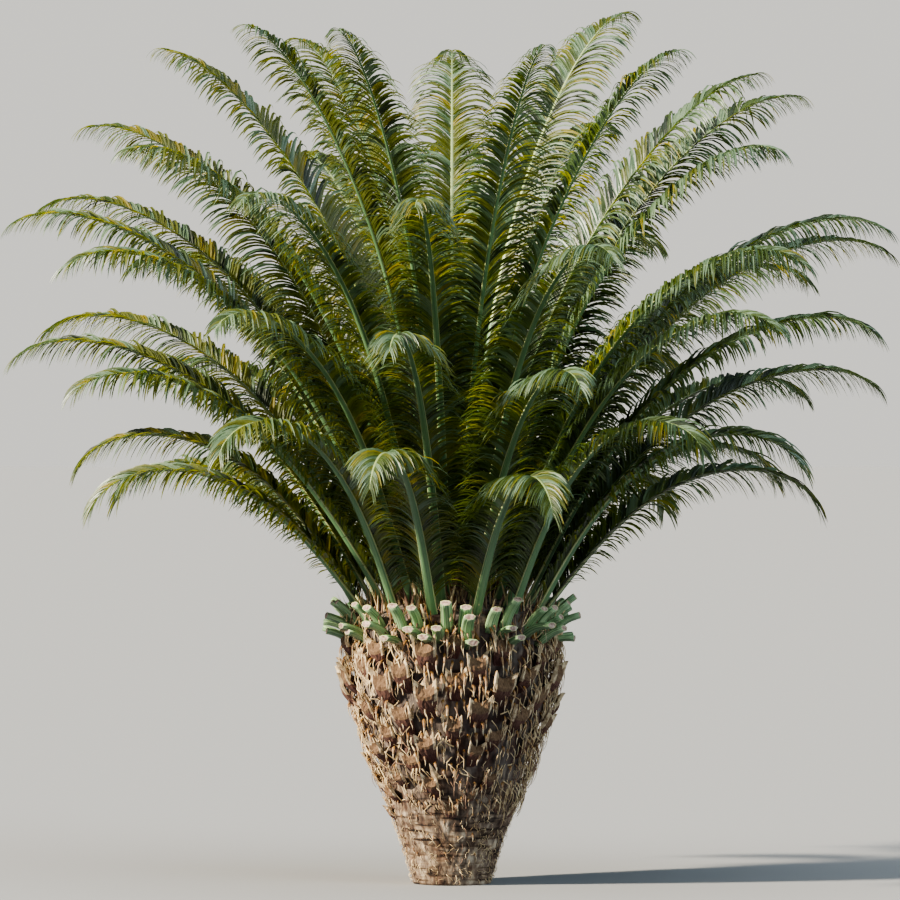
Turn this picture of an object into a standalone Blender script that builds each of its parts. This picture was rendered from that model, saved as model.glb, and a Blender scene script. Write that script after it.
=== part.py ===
"""Date palm with a pruned, pineapple-shaped head.

A stout trunk of leaf boots widens from its flat cut at the ground to the shoulder. A collar of cut
stalks sits on the shoulder, and five rings of arching fronds stand on the stepped top inside it.
Metres, +Z up, the origin on the trunk's axis at ground level. -Y is the front.
"""

import math
import random

import bmesh
import bpy
from mathutils import Matrix, Vector
from mathutils.bvhtree import BVHTree

SEED = 11
GAP = 0.0003
UP = Vector((0.0, 0.0, 1.0))

# Trunk: its radius at each height, from the ground cut to the seat of the collar
TRUNK_OUTLINE = ((0.0, 0.232), (0.20, 0.286), (0.46, 0.380), (0.75, 0.498), (1.00, 0.578),
                 (1.18, 0.622), (1.34, 0.640), (1.44, 0.640))
COLUMNS = 18
BARE_FOOT = 0.30
BOOT_ROWS = 9
BOOT_OUT = 0.070
BOOT_UP = 0.045
BOOT_SINK = 0.030

# Collar round the shoulder, which the cut stalks grow from
COLLAR_LOW = 1.44
COLLAR_HIGH = 1.62
COLLAR_INSIDE = 0.600
COLLAR_FOOT_RADIUS = 0.640
COLLAR_TOP_RADIUS = 0.618
COLLAR_CUT_RADIUS = 0.9

# Cut stalks: sizes, then rows by count, offset, height and radius of the root, length, rise, bend,
# and how far azimuth and rise may stray
STALK_WIDTH = 0.078
STALK_DEPTH = 0.048
STALK_ROOT = 0.050
STALK_TAPER = 0.94
STALK_PAIR_SHIFT = 1.8
STALK_ROWS = ((28, 0.5, 1.575, 0.612, 0.165, 61, 14, 0.8, 5),
              (21, 0.25, 1.520, 0.620, 0.165, 46, 18, 3.5, 12),
              (16, 0.10, 1.470, 0.626, 0.150, 30, 12, 4.5, 12))

# Stepped top of the trunk that the fronds stand on: outer radius and height of each step
STEPS = ((0.600, 1.62), (0.500, 1.66), (0.410, 1.70), (0.310, 1.74), (0.215, 1.78))
TOP_CENTRE = 0.060

# Fronds: where leaflets begin, the rib at its tip, and the leaflets' length and set along the rib
BARE_STALK = 0.07
RIB_TIP = 0.010
TIP_LEAFLET = 0.12
LEAFLET_LENGTHS = (0.19, 0.35, 0.15)
LEAFLET_LIFT = (26, 2, -50)
LEAFLET_SWEEP = (36, 16, 48)
LEAFLET_TRIES = (1.0, 0.75, 0.55, 0.38, 0.25)
LEAFLET_BANDS = (0.66, 0.33, 0.0)
CLEARANCE = 0.01
HOOK = 30
HOOK_POWER = 18
CURVE_STEPS = 6

# Each ring: name, step it stands on, seat radius, first azimuth, leaflets a side, rib width and
# depth, power of its curve, then length, starting angle and bend of its lowest and highest frond.
# Each digit of the heights is one frond, from the lowest (0) to the highest (9), from the front.
# Shifts are the degrees by which a frond stands beside its even place.
RINGS = (
    dict(name="lowest", step=0, radius=0.552, first=-11, teeth=14, rib=(0.074, 0.050), curve=2,
         low=(2.07, 50.8, 93.0), high=(2.27, 62.8, 100.0), heights="40971507392719",
         shifts={1: -1, 5: 8, 13: -8}),
    dict(name="lower", step=1, radius=0.455, first=-6.5, teeth=17, rib=(0.076, 0.050), curve=2,
         low=(2.70, 55.9, 71.6), high=(3.03, 63.5, 76.1), heights="50881047239508",
         shifts={1: -1.2, 2: -2.9, 14: 1.7}),
    dict(name="middle", step=2, radius=0.360, first=-3.5, teeth=19, rib=(0.074, 0.048), curve=2,
         low=(3.36, 65.4, 74.1), high=(3.55, 70.7, 67.9), heights="60053058329607",
         shifts={1: -1, 2: -2.7, 14: 2.2}),
    dict(name="upper", step=3, radius=0.264, first=0, teeth=21, rib=(0.068, 0.044), curve=2,
         low=(3.59, 72.2, 61.5), high=(3.76, 77.0, 53.9), heights="0975350",
         places=(1, 2, 3, 3.5, 4, 5, 6), shifts={}),
    dict(name="heart", step=4, radius=0.150, first=180, teeth=21, rib=(0.050, 0.040), curve=1.5,
         low=(3.66, 80.0, 43.5), high=(3.92, 88.0, 44.0), heights="563431109",
         shifts={2: -4, 3: 6, 4: 16, 5: -2, 6: -3, 7: -14, 8: -6, 9: -5}),
)

BARK = (0.30, 0.21, 0.14)
CUT_GREEN = (0.20, 0.33, 0.20)
LEAF_GREENS = {"lowest": (0.17, 0.23, 0.07), "lower": (0.14, 0.22, 0.07),
               "middle": (0.12, 0.21, 0.07), "upper": (0.13, 0.23, 0.09),
               "heart": (0.17, 0.26, 0.10)}


def clear_scene():
    for thing in list(bpy.data.objects):
        bpy.data.objects.remove(thing, do_unlink=True)


def material(name, colour, roughness):
    """A plain Principled finish."""
    mat = bpy.data.materials.new(name)
    mat.use_nodes = True
    shader = mat.node_tree.nodes["Principled BSDF"]
    shader.inputs["Base Color"].default_value = (*colour, 1.0)
    shader.inputs["Roughness"].default_value = roughness
    shader.inputs["Metallic"].default_value = 0.0
    return mat


def finish(name, bm, mat):
    """Makes the bmesh a named object with outward faces."""
    bmesh.ops.recalc_face_normals(bm, faces=bm.faces)
    mesh = bpy.data.meshes.new(name)
    bm.to_mesh(mesh)
    bm.free()
    if mat:
        mesh.materials.append(mat)
    thing = bpy.data.objects.new(name, mesh)
    bpy.context.collection.objects.link(thing)
    return thing


def polar(radius, azimuth, z=0.0):
    """A point by its azimuth: 0 degrees is the front, 90 the right."""
    angle = math.radians(azimuth)
    return Vector((radius * math.sin(angle), -radius * math.cos(angle), z))


def through(three, share):
    """A value that runs from the first through the middle to the last of three."""
    start, middle, end = three
    if share < 0.5:
        return start + (middle - start) * math.sin(math.pi * share)
    return end + (middle - end) * math.sin(math.pi * share)


def outline_radius(z):
    """The trunk's radius at a height."""
    for (z0, r0), (z1, r1) in zip(TRUNK_OUTLINE, TRUNK_OUTLINE[1:]):
        if z <= z1:
            return r0 + (r1 - r0) * (z - z0) / (z1 - z0)
    return TRUNK_OUTLINE[-1][1]


def next_ring(bm, edges, radius, z):
    """Extrudes a ring of edges to a new radius and height; returns its edges."""
    made = bmesh.ops.extrude_edge_only(bm, edges=edges)["geom"]
    corners = {g for g in made if isinstance(g, bmesh.types.BMVert)}
    for v in corners:
        v.co = Vector((*(v.co.xy.normalized() * radius), z))
    return [g for g in made if isinstance(g, bmesh.types.BMEdge) and corners.issuperset(g.verts)]


def raise_boot(bm, face):
    """Pokes one diamond of the trunk's lattice into the pointed stub of a leaf boot."""
    tip = bmesh.ops.poke(bm, faces=[face])["verts"][0]
    out = Vector((tip.co.x, tip.co.y, 0.0)).normalized()
    tip.co += (out * BOOT_OUT + UP * BOOT_UP) * math.sqrt(tip.co.xy.length / TRUNK_OUTLINE[-1][1])


def boot_lattice(bm, foot_rim):
    """Rows of diamonds up the trunk, each poked into a boot; returns the edges of the last row."""
    row = sorted({v for e in foot_rim for v in e.verts}, key=lambda v: math.atan2(v.co.y, v.co.x))
    start = math.atan2(row[0].co.y, row[0].co.x)
    rows = [row]
    for k in range(1, BOOT_ROWS + 1):
        z = BARE_FOOT + (COLLAR_LOW - BARE_FOOT) * k / BOOT_ROWS
        radius = outline_radius(z) - (BOOT_SINK if k < BOOT_ROWS else 0.0)
        angles = [start + 2 * math.pi * (j + k % 2 / 2) / COLUMNS for j in range(COLUMNS)]
        rows.append([bm.verts.new((radius * math.cos(a), radius * math.sin(a), z)) for a in angles])
    diamonds = []
    for k, row in enumerate(rows):
        for j in range(COLUMNS):
            here, beside = row[j], row[(j + 1) % COLUMNS]
            between = (j + k % 2) % COLUMNS
            if k == 0:
                bm.faces.new((here, beside, rows[1][between]))
            elif k == BOOT_ROWS:
                bm.faces.new((here, rows[k - 1][between], beside))
            else:
                diamonds.append(bm.faces.new((here, rows[k - 1][between], beside, rows[k + 1][between])))
    for face in diamonds:
        raise_boot(bm, face)
    last = set(rows[-1])
    return list({e for v in last for e in v.link_edges if last.issuperset(e.verts)})


def make_trunk():
    """The plain foot, the boots up to the collar's seat, then the steps for the fronds."""
    bm = bmesh.new()
    foot = bmesh.ops.create_circle(bm, cap_ends=True, segments=COLUMNS, radius=TRUNK_OUTLINE[0][1])
    edges = list({e for v in foot["verts"] for e in v.link_edges})
    for z in (BARE_FOOT / 2, BARE_FOOT):
        edges = next_ring(bm, edges, outline_radius(z), z)
    edges = boot_lattice(bm, edges)
    edges = next_ring(bm, edges, COLLAR_INSIDE, COLLAR_LOW)
    inner_radii = [radius for radius, _ in STEPS[1:]] + [TOP_CENTRE]
    for (radius, z), inner in zip(STEPS, inner_radii):
        edges = next_ring(bm, edges, radius, z)
        edges = next_ring(bm, edges, inner, z)
    bmesh.ops.contextual_create(bm, geom=edges)
    return finish("trunk", bm, material("bark", BARK, 0.9))


def seat_ring(bm, radius, z, filled):
    """A ring of edges turned to the facets of the trunk's last row of boots."""
    ring = bmesh.ops.create_circle(bm, cap_ends=filled, segments=COLUMNS, radius=radius)
    bmesh.ops.rotate(bm, verts=ring["verts"],
                     matrix=Matrix.Rotation(BOOT_ROWS * math.pi / COLUMNS, 3, "Z"))
    bmesh.ops.translate(bm, verts=ring["verts"], vec=UP * z)
    return list({e for v in ring["verts"] for e in v.link_edges})


def collar_band(mat):
    """The ring that the cut stalks grow from."""
    bm = bmesh.new()
    low = COLLAR_LOW + GAP
    first = seat_ring(bm, COLLAR_INSIDE + GAP, low, False)
    edges = next_ring(bm, first, COLLAR_FOOT_RADIUS, low)
    edges = next_ring(bm, edges, COLLAR_TOP_RADIUS, COLLAR_HIGH)
    edges = next_ring(bm, edges, COLLAR_INSIDE + GAP, COLLAR_HIGH)
    bmesh.ops.bridge_loops(bm, edges=edges + first)
    return finish("cut_stalks", bm, mat)


def make_stalk(azimuth, root_z, root_radius, length, rise, bend, girth, mat):
    """One cut stalk: a slightly bent prism with a flat cut end, its root sunk in the collar."""
    out, side = polar(1.0, azimuth), polar(1.0, azimuth + 90)
    pitch = math.radians(rise)
    ahead = out * math.cos(pitch) + UP * math.sin(pitch)
    above = UP * math.cos(pitch) - out * math.sin(pitch)
    point = out * root_radius + UP * root_z - ahead * STALK_ROOT
    outline = ((-0.5, -0.1), (0.0, -0.5), (0.5, -0.1), (0.38, 0.5), (-0.38, 0.5))
    bm = bmesh.new()
    face = bm.faces.new([bm.verts.new(point + (side * x * STALK_WIDTH + above * y * STALK_DEPTH) * girth)
                         for x, y in outline])
    droop = Matrix.Rotation(math.radians(bend), 3, side)
    if (droop @ ahead).z > ahead.z:
        droop.invert()
    rim = list(face.edges)
    for step in (STALK_ROOT + length * 0.45, length * 0.55):
        made = bmesh.ops.extrude_edge_only(bm, edges=rim)["geom"]
        corners = {g for g in made if isinstance(g, bmesh.types.BMVert)}
        rim = [g for g in made if isinstance(g, bmesh.types.BMEdge) and corners.issuperset(g.verts)]
        bmesh.ops.translate(bm, vec=ahead * step, verts=list(corners))
        point += ahead * step
        ahead = droop @ ahead
        bmesh.ops.rotate(bm, cent=point, matrix=droop, verts=list(corners))
        bmesh.ops.scale(bm, vec=(STALK_TAPER,) * 3, space=Matrix.Translation(-point),
                        verts=list(corners))
    bmesh.ops.contextual_create(bm, geom=rim)
    return finish("stalk", bm, mat)


def seat_shape():
    """The space that the trunk takes under and inside the collar."""
    bm = bmesh.new()
    edges = seat_ring(bm, COLLAR_CUT_RADIUS, 0.0, True)
    for radius, z in ((COLLAR_CUT_RADIUS, COLLAR_LOW + GAP), (COLLAR_INSIDE + GAP, COLLAR_LOW + GAP),
                      (COLLAR_INSIDE + GAP, 2 * COLLAR_HIGH)):
        edges = next_ring(bm, edges, radius, z)
    bmesh.ops.contextual_create(bm, geom=edges)
    return finish("seat_shape", bm, None)


def combine(base, parts, operation):
    """Adds the parts to the base, or cuts them from it, by one Boolean, and removes them."""
    group = bpy.data.collections.new("parts_of_" + base.name)
    for part in parts:
        group.objects.link(part)
    change = base.modifiers.new("combine", "BOOLEAN")
    change.operation = operation
    change.operand_type = "COLLECTION"
    change.collection = group
    change.solver = "EXACT"
    change.use_self = True
    seen = base.evaluated_get(bpy.context.evaluated_depsgraph_get())
    mesh = bpy.data.meshes.new_from_object(seen)
    base.modifiers.clear()
    base.data = mesh
    for part in parts:
        bpy.data.objects.remove(part, do_unlink=True)
    bpy.data.collections.remove(group)


def make_cut_stalks(rng):
    """Three rows of cut stalks: the top row in pairs between the lowest fronds."""
    mat = material("cut_stalk", CUT_GREEN, 0.6)
    base = collar_band(mat)
    stalks = []
    for row, (count, offset, z, radius, length, rise, bend, stray, tilt) in enumerate(STALK_ROWS):
        for k in range(count):
            azimuth = RINGS[0]["first"] + 360 * (k + offset) / count + rng.uniform(-stray, stray)
            if row == 0:
                azimuth += STALK_PAIR_SHIFT if k % 2 == 0 else -STALK_PAIR_SHIFT
            stalks.append(make_stalk(azimuth, z + rng.uniform(-0.014, 0.014), radius,
                                     length * rng.uniform(0.75, 1.15),
                                     rise + rng.uniform(-tilt, tilt), bend, rng.uniform(0.84, 1.04), mat))
    combine(base, stalks, "UNION")
    combine(base, [seat_shape()], "DIFFERENCE")
    return base


class Frond:
    """The rib of one frond, whose sides are poked into leaflets once every rib stands."""

    def __init__(self, ring, number, azimuth, digit):
        share = digit / 9
        self.name = f"frond_{ring['name']}_{number:02d}"
        self.ring = ring
        self.length, self.start, self.bend = [
            low + (high - low) * share for low, high in zip(ring["low"], ring["high"])]
        self.out, self.side = polar(1.0, azimuth), polar(1.0, azimuth + 90)
        self.seat = polar(ring["radius"], azimuth, STEPS[ring["step"]][1] + GAP)
        self.bm = bmesh.new()
        self.flanks = []
        self.build_rib()
        self.tree = BVHTree.FromBMesh(self.bm)

    def directions(self, t):
        """The rib's tangent and upper normal at a share of its length."""
        angle = math.radians(self.start - self.bend * t**self.ring["curve"] - HOOK * t**HOOK_POWER)
        tangent = self.out * math.cos(angle) + UP * math.sin(angle)
        return tangent, UP * math.cos(angle) - self.out * math.sin(angle)

    def section(self, point, t):
        """The rib's three corners: two at its flat top and the keel under it."""
        tangent, normal = self.directions(t)
        width, depth = self.ring["rib"]
        half = (RIB_TIP + (width - RIB_TIP) * (1 - t) ** 0.8) / 2
        deep = (RIB_TIP + (depth - RIB_TIP) * (1 - t)) / 2
        corners = [point + normal * deep + self.side * half, point + normal * deep - self.side * half,
                   point - normal * deep]
        if t == 0:
            corners = [c - tangent * ((c.z - self.seat.z) / tangent.z) for c in corners]
        return [self.bm.verts.new(c) for c in corners]

    def build_rib(self):
        """Sections from the seat to the tip, and the flanks that leaflets may grow from."""
        teeth = self.ring["teeth"]
        stations = [0.0] + [BARE_STALK + (1 - BARE_STALK) * k / teeth for k in range(teeth + 1)]
        point = self.seat.copy()
        last = self.section(point, 0.0)
        self.bm.faces.new(last)
        for t0, t1 in zip(stations, stations[1:]):
            step = (t1 - t0) / CURVE_STEPS
            for k in range(CURVE_STEPS):
                point = point + self.directions(t0 + (k + 0.5) * step)[0] * step * self.length
            here = self.section(point, t1)
            self.bm.faces.new((last[0], last[1], here[1], here[0]))
            right = self.bm.faces.new((last[2], last[0], here[0], here[2]))
            left = self.bm.faces.new((last[1], last[2], here[2], here[1]))
            if t0 > 0:
                self.flanks += [(right, self.side, (t0 + t1) / 2), (left, -self.side, (t0 + t1) / 2)]
            last = here
        end = self.bm.faces.new(last)
        tip = bmesh.ops.poke(self.bm, faces=[end])["verts"][0]
        tip.co += self.directions(1.0)[0] * TIP_LEAFLET
        bmesh.ops.recalc_face_normals(self.bm, faces=self.bm.faces)

    def leaflet_tip(self, flank, share):
        """Where the point of a leaflet lies, at a share of its full length."""
        face, side, t = flank
        tangent, normal = self.directions(t)
        lift = math.radians(through(LEAFLET_LIFT, t))
        sweep = math.radians(through(LEAFLET_SWEEP, t))
        across = side * math.cos(lift) + normal * math.sin(lift)
        reach = through(LEAFLET_LENGTHS, t) * share
        return face.calc_center_median() + (across * math.cos(sweep) + tangent * math.sin(sweep)) * reach

    def grow_leaflets(self, low, high, others):
        """Pokes the flanks of one band of the rib, where the leaflet meets nothing else."""
        for flank in [f for f in self.flanks if low <= f[2] < high]:
            middle = flank[0].calc_center_median()
            corners = [middle + (v.co - middle) * 1.15 for v in flank[0].verts]
            for share in LEAFLET_TRIES:
                tip = self.leaflet_tip(flank, share)
                beyond = tip + (tip - middle).normalized() * CLEARANCE
                leaflet = BVHTree.FromPolygons(corners + [beyond],
                                               [(0, 1, 4), (1, 2, 4), (2, 3, 4), (3, 0, 4), (0, 1, 2, 3)])
                if not any(leaflet.overlap(other) for other in others):
                    bmesh.ops.poke(self.bm, faces=[flank[0]])["verts"][0].co = tip
                    break
        self.tree = BVHTree.FromBMesh(self.bm)


def plant_fronds(solids):
    """Every ring's ribs first, then their leaflets from the tips inwards."""
    fronds = []
    for ring in RINGS:
        count = len(ring["heights"])
        places = ring.get("places", range(count))
        for k, (place, digit) in enumerate(zip(places, ring["heights"])):
            azimuth = ring["first"] + 360 * place / count + ring["shifts"].get(k + 1, 0)
            fronds.append(Frond(ring, k + 1, azimuth, int(digit)))
    high = 1.0
    for low in LEAFLET_BANDS:
        for frond in fronds:
            frond.grow_leaflets(low, high, solids + [f.tree for f in fronds if f is not frond])
        high = low
    greens = {name: material("leaf_" + name, colour, 0.55) for name, colour in LEAF_GREENS.items()}
    for frond in fronds:
        finish(frond.name, frond.bm, greens[frond.ring["name"]])


def solid_tree(thing):
    """The search tree that leaflets are tested against."""
    bm = bmesh.new()
    bm.from_mesh(thing.data)
    tree = BVHTree.FromBMesh(bm)
    bm.free()
    return tree


def main():
    clear_scene()
    trunk = make_trunk()
    stalks = make_cut_stalks(random.Random(SEED))
    plant_fronds([solid_tree(trunk), solid_tree(stalks)])


main()
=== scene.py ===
"""Looks of the pruned date palm: bark, leaf boots, hanging fibre, cut stalks, ribs and leaflets.

Metres, +Z up, the origin on the trunk's axis at ground level. Azimuth 0 is the front, -Y.
"""

import random
from collections import namedtuple
from math import atan2, cos, pi, radians, sin

import bmesh
import bpy
import numpy as np
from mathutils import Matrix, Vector, noise


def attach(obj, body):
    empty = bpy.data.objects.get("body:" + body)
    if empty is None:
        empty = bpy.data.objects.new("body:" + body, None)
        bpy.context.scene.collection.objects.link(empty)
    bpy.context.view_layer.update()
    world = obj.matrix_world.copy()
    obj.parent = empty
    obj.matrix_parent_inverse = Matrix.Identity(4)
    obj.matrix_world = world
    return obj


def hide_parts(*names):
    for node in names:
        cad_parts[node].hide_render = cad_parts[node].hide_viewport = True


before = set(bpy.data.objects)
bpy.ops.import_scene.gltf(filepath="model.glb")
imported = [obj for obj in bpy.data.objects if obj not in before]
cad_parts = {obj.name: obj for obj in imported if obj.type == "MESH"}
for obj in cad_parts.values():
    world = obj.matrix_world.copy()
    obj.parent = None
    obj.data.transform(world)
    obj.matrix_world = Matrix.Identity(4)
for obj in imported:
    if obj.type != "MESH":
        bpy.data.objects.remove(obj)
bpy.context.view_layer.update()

SEED = 11
UP = np.array((0.0, 0.0, 1.0))
BODY = "root"

# The trunk's outline and the stepped top, as the frame has them
TRUNK_OUTLINE = ((0.0, 0.232), (0.20, 0.286), (0.46, 0.380), (0.75, 0.498), (1.00, 0.578),
                 (1.18, 0.622), (1.34, 0.640), (1.44, 0.640), (1.62, 0.605))
STEPS = ((0.600, 1.62), (0.500, 1.66), (0.410, 1.70), (0.310, 1.74), (0.215, 1.78))
TOP_HEIGHT = 1.79

# Bark under the boots: how far it lies inside the outline, and its relief
BARK_SEGMENTS = 132
BARK_STEP = 0.012
BARK_SINK = 0.050
BARE_FOOT = 0.30
BARK_RELIEF = 0.016
SCAR_SPACING = 0.048
SCAR_RELIEF = 0.005

# Leaf boots: columns round the trunk, the pitch within a column, and turns of the spiral
BOOT_COLUMNS = 25
BOOT_PITCH = 0.25
BOOT_SPIRAL = 10
BOOT_LOW = 0.36
BOOT_HIGH = 1.50
BOOT_WIDTH = 0.142
BOOT_HEIGHT = 0.215
BOOT_LIP = 0.040
BOOT_MISSING = 0.10
BOOT_ACROSS = 10
BOOT_ALONG = 9

# A boot's own form, in shares of its height and lip: its shoulder, its wall and the lift of its horns
BOOT_SHOULDER = 0.68
BOOT_WALL = 0.22
BOOT_HORN = 0.22

# Hanging teeth of torn fibre: lengths and girths by height, girth from root to tip, and the share of them
# that shows under the net and elsewhere
TOOTH_ROWS = 15
TOOTH_HEIGHTS = (0.20, 1.56)
TOOTH_SPACING = 0.043
TOOTH_WIDTH = 0.025
TOOTH_LENGTHS = ((0.3, 0.045), (0.75, 0.070), (1.35, 0.122))
TOOTH_GIRTHS = ((0.3, 0.5), (0.9, 1.0))
TOOTH_PROFILE = ((0, 0.45), (0.17, 1.0), (0.34, 0.72), (0.6, 0.42), (1, 0.10))
TOOTH_SHARES = (0.40, 0.78)

# Net of strands: its diamonds, and the share of them that stays on the left, in front and on the right
NET_COLUMNS = 64
NET_ROWS = 19
NET_HEIGHTS = (0.50, 1.66)
NET_WIDTH = 0.0095
NET_SHARES = (0.95, 0.10, 0.42)

# Loose hairs on the trunk, and shorter ones on its foot
HAIRS = 850
HAIR_HEIGHTS = (0.50, 1.60)
HAIR_LENGTHS = (0.07, 0.15)
HAIR_WIDTH = 0.0085
FOOT_HAIRS = 1000
FOOT_HAIR_HEIGHTS = (0.03, 0.72)
FOOT_HAIR_LENGTHS = (0.025, 0.07)
FOOT_HAIR_WIDTH = 0.0042

# Torn flaps: the share in the net, and their heights, widths and lengths in the net and among the stalks
FLAPS = 130
FLAPS_IN_NET = 0.55
FLAP_HEIGHTS = ((0.60, 1.50), (1.44, 1.60))
FLAP_WIDTHS = ((0.04, 0.075), (0.025, 0.05))
FLAP_LENGTHS = ((0.05, 0.10), (0.09, 0.17))

# Sheath fibre among the fronds' feet: the ground it stands on by radius, and its broad and narrow strands
CROWN_STRANDS = 900
CROWN_GROUND = ((0.0, 1.78), (0.215, 1.77), (0.31, 1.73), (0.41, 1.69), (0.50, 1.65), (0.62, 1.52))
CROWN_HEIGHTS = (0.05, 0.24)
CROWN_WIDTHS = (0.034, 0.012)
CROWN_BROAD = 0.35

# Cut stalks, by the frame's own rule. A row holds the count, the offset, the height and the radius of the
# feet, the length, the rise, the bend, and how far the azimuth and the rise stray
STALK_FIRST = -11
STALK_SIDES = 28
STALK_RIBS = 7
STALK_WIDTH = 0.078
STALK_DEPTH = 0.048
STALK_ROOT = 0.050
STALK_TAPER = 0.94
STALK_PAIR_SHIFT = 1.8
STALK_ROWS = ((28, 0.5, 1.575, 0.612, 0.165, 61, 14, 0.8, 5),
              (21, 0.25, 1.520, 0.620, 0.165, 46, 18, 3.5, 12),
              (16, 0.10, 1.470, 0.626, 0.150, 30, 12, 4.5, 12))

# Fronds, by the frame's own rule. low and high give the length, the start angle and the bend of a ring's
# lowest and highest frond, and each digit of heights is a frond's place between them. shifts turn single
# fronds about the trunk, and twist turns the leaflets of the side fronds towards the front
BARE_STALK = 0.07
RIB_TIP = 0.010
HOOK = 30
HOOK_POWER = 18
RINGS = (
    dict(name="lowest", step=0, radius=0.552, first=-11, rib=(0.066, 0.048), curve=2, twist=20,
         low=(2.07, 50.8, 93.0), high=(2.27, 62.8, 100.0), heights="40971507392719",
         shifts={1: -1, 5: 8, 13: -8}),
    dict(name="lower", step=1, radius=0.455, first=-6.5, rib=(0.068, 0.048), curve=2, twist=28,
         low=(2.70, 55.9, 71.6), high=(3.03, 63.5, 76.1), heights="50881047239508",
         shifts={1: -1.2, 2: -2.9, 14: 1.7}),
    dict(name="middle", step=2, radius=0.360, first=-3.5, rib=(0.066, 0.046), curve=2, twist=30,
         low=(3.36, 65.4, 74.1), high=(3.55, 70.7, 67.9), heights="60053058329607",
         shifts={1: -1, 2: -2.7, 14: 2.2}),
    dict(name="upper", step=3, radius=0.264, first=0, rib=(0.060, 0.042), curve=2, twist=55,
         low=(3.59, 72.2, 61.5), high=(3.76, 77.0, 53.9), heights="0975350",
         places=(1, 2, 3, 3.5, 4, 5, 6), shifts={}),
    dict(name="heart", step=4, radius=0.150, first=180, rib=(0.046, 0.038), curve=1.5, twist=40,
         low=(3.66, 80.0, 43.5), high=(3.92, 88.0, 44.0), heights="563431109",
         shifts={2: -4, 3: 6, 4: 16, 5: -2, 6: -3, 7: -14, 8: -6, 9: -5}),
)
RIB_STEPS = 400
RIB_ROWS = 36
RIB_SIDES = 12
RIB_SUNK = 0.04
RIB_FLARE = 0.18

# Leaflets: three values run from the stalk through the middle to the tip of the frond, and each leaflet
# strays a little from them
LEAFLET_SPACING = 0.0135
LEAFLET_LENGTH = (0.21, 0.34, 0.33)
LEAFLET_LIFT = (32, 24, 18)
LEAFLET_SWEEP = (44, 43, 45)
LEAFLET_DROOP = (1.00, 1.75, 2.15)
LEAFLET_ROLL = (26, 16, 6)
LEAFLET_WIDTH = 0.024
LEAFLET_FOLD = 18
LEAFLET_ROWS = 6
LEAFLET_SLIM = 0.8
PLACE_STRAY = 0.25
LIFT_STRAY = 4.5
SWEEP_STRAY = 4.0
LENGTH_STRAY = (0.90, 1.07)
DROOP_STRAY = (0.8, 1.2)
DROOP_UPRIGHT = 0.50

# The last stretch of a frond: its length, how short its leaflets are, and what they sweep ahead. They are
# shorter still on the fronds at the front
TIP_STRETCH = 0.40
TIP_SHORT = 0.48
TIP_SWEEP = 16
FRONT_SHORT = 0.30

# Greens of the leaflets, dealt out to sprays of neighbours. A share is the sum of its parts: one for all,
# and others for the left or right, the heart, its painted-sheen side, the front, and the frond's foot, outer
# part or tip. The darkest green is painted shade, at the frond's foot and on its right side away from the
# key light;
# gold and olive lean to the lit left as painted light; the pale waxy green is glaucous wax and also painted
# sheen
PAINTED_SHADE, GREEN, OLIVE, GOLD, WAX_AND_SHEEN = range(5)
SPRAY = 3
# the side where the heart fronds' upper faces catch the light: the pale waxy green there is painted sheen
PAINTED_SHEEN_SIDE = 60
SHARES = dict(
    # gold and olive lean to the left, where the key light falls: their left parts are painted light
    gold=dict(all=0.06, left=0.07, tip=-0.05),
    olive=dict(all=0.33, left=0.25, tip=-0.12, heart=0.11, painted_sheen=-0.07),
    # the pale waxy green: glaucous wax, and also painted sheen, more on the outer part and the painted-sheen
    # side
    wax_and_sheen=dict(all=0.11, outer=0.50, painted_sheen=0.09),
    # deep: painted shade, the darkest green at the frond's foot and on its right side, away from the key
    # light
    deep=dict(foot=0.22, right=0.14),
    wax_and_sheen_tip=dict(all=0.15, tip=0.23, painted_sheen=0.06, front=-0.12),
    # gold tips, more on the heart fronds and away from the left
    gold_tip=dict(all=0.12, heart=0.11),
)
LEAF_FINISHES = (
    # name, dark and pale tone, the light that shines through, its share, roughness
    # painted shade: a near-black green for leaflets that lie in shade
    ("leaf_deep", (0.01, 0.02, 0.004), (0.024, 0.042, 0.01), (0.05, 0.08, 0.008), 0.28, 0.46),
    ("leaf_green", (0.034, 0.064, 0.012), (0.072, 0.108, 0.026), (0.17, 0.24, 0.02), 0.34, 0.46),
    ("leaf_olive", (0.076, 0.098, 0.012), (0.138, 0.154, 0.026), (0.35, 0.38, 0.02), 0.38, 0.46),
    ("leaf_gold", (0.165, 0.15, 0.01), (0.26, 0.22, 0.02), (0.52, 0.46, 0.015), 0.4, 0.46),
    # glaucous wax, and also painted sheen on lit upper faces
    ("leaf_wax", (0.088, 0.15, 0.082), (0.175, 0.245, 0.145), (0.17, 0.27, 0.07), 0.22, 0.42),
)

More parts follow.
